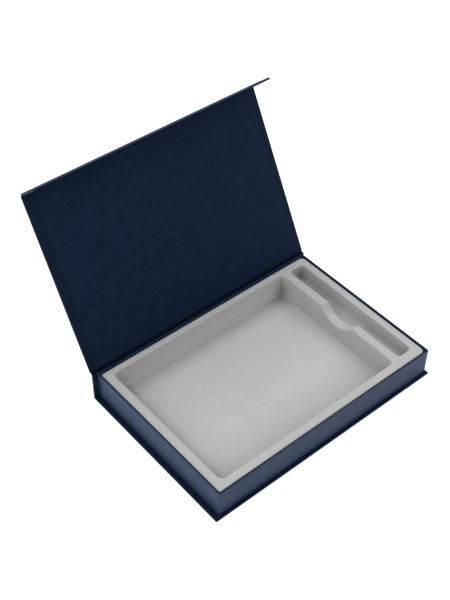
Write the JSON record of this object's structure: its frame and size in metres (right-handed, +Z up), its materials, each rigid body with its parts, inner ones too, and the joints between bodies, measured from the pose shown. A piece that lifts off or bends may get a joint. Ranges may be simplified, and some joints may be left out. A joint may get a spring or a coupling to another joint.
{
  "type": "archival box",
  "caption": "Book-style rigid box with hinged lid, fold-over magnetic flap and a flocked insert holding a diary pocket, a pen slot and a finger scoop.",
  "frame": {"origin": "middle of the closed box's footprint, on the underside of the base board", "axes": "+X along the hinge towards the pen slot side, -Y towards the front where the flap closes, +Z up"},
  "size_m": [0.27, 0.2699, 0.2165],
  "materials": {
    "navy_paper": "matt uncoated covering paper, fine mottled grain",
    "liner_paper": "matt lining paper, slightly lighter than the covering",
    "greyboard": "raw grey bookbinding board",
    "kraft_tape": "gummed kraft corner stay",
    "grey_flock": "short light-grey flock on foam",
    "magnet": "plated disc magnet",
    "steel": "plain steel disc"
  },
  "bodies": {
    "tray": {"base_board": "greyboard", "base_wrap": "navy_paper", "spine_board": "greyboard", "spine_wrap": "navy_paper", "spine_liner": "liner_paper", "spine_fold_paper": "liner_paper", "tray_floor": "greyboard", "tray_front_wall": "greyboard", "tray_back_wall": "greyboard", "tray_left_wall": "greyboard", "tray_right_wall": "greyboard", "tray_corner_stays": "kraft_tape", "tray_wrap": "navy_paper", "tray_strike_discs": "steel", "insert_pad": "grey_flock", "insert_block": "grey_flock"},
    "lid": {"lid_board": "greyboard", "lid_wrap": "navy_paper", "lid_liner": "liner_paper", "lid_fold_paper": "navy_paper", "lid_front_fold_paper": "navy_paper"},
    "flap": {"flap_board": "greyboard", "flap_wrap": "navy_paper", "flap_liner": "liner_paper", "flap_magnets": "magnet", "flap_fold_paper": "navy_paper"}
  },
  "joints": [
    {"name": "lid_hinge", "type": "hinge", "parent": "tray", "child": "lid", "pos_m": [0, 0.0918, 0.0344], "axis": [-1, 0, 0], "range_deg": [-118, 70]},
    {"name": "flap_hinge", "type": "hinge", "parent": "lid", "child": "flap", "pos_m": [0, 0.17668, 0.19404], "axis": [-1, 0, 0], "range_deg": [-12.8, 77.2]}
  ]
}
